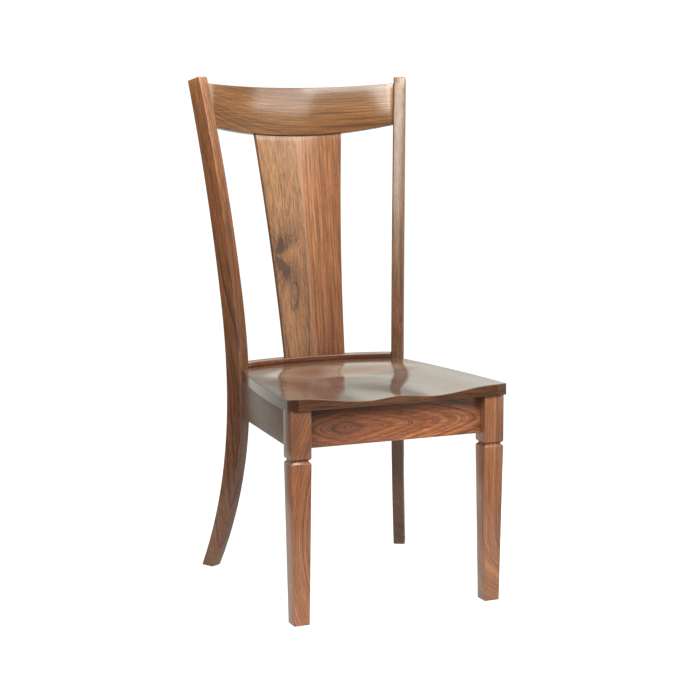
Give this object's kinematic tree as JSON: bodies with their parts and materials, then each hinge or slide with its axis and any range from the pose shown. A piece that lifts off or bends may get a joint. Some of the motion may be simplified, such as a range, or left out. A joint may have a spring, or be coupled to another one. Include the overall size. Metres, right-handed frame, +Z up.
{
  "type": "side chair",
  "caption": "Armless wooden dining chair with a scooped seat, square tapered front legs and a curved, leaning back with a crest rail and wide splat.",
  "frame": {"origin": "on the floor, under the middle of the overall width and depth", "axes": "+Z up; the sitter faces -Y; +X to the right seen from the front"},
  "size_m": [0.5234, 0.586, 1.0845],
  "materials": {
    "post_walnut": "clear satin-gloss finish over walnut, grain along the post",
    "leg_walnut": "clear satin-gloss finish over walnut, bold striped grain",
    "crest_walnut": "clear satin-gloss finish over walnut, figure swirling at one end",
    "splat_light_walnut": "clear satin-gloss finish over lighter walnut with a knot",
    "splat_red_walnut": "clear satin-gloss finish over redder, straight-grained walnut",
    "shoe_walnut": "clear satin-gloss finish over dark red walnut",
    "seat_walnut": "glossier clear finish over edge-glued walnut boards, grain side to side",
    "front_apron_walnut": "clear satin-gloss finish over walnut with cathedral figure",
    "side_apron_walnut": "clear satin-gloss finish over walnut, grain lengthwise",
    "block_wood": "plain planed hardwood, lightly sealed",
    "screw_steel": "plain zinc-grey wood screws"
  },
  "bodies": {
    "root": {"rear_post_left": "post_walnut", "rear_post_right": "post_walnut", "front_leg_left": "leg_walnut", "front_leg_right": "leg_walnut", "crest_rail": "crest_walnut", "splat_board_left": "splat_light_walnut", "splat_board_right": "splat_red_walnut", "back_shoe_rail": "shoe_walnut", "seat_board_1": "seat_walnut", "seat_board_2": "seat_walnut", "seat_board_3": "seat_walnut", "seat_board_4": "seat_walnut", "seat_board_5": "seat_walnut", "front_apron": "front_apron_walnut", "side_apron_left": "side_apron_walnut", "side_apron_right": "side_apron_walnut", "rear_apron": "side_apron_walnut", "corner_block_front_left": "block_wood", "corner_block_front_right": "block_wood", "corner_block_rear_left": "block_wood", "corner_block_rear_right": "block_wood", "corner_screws": "screw_steel", "seat_screws": "screw_steel"}
  },
  "joints": []
}
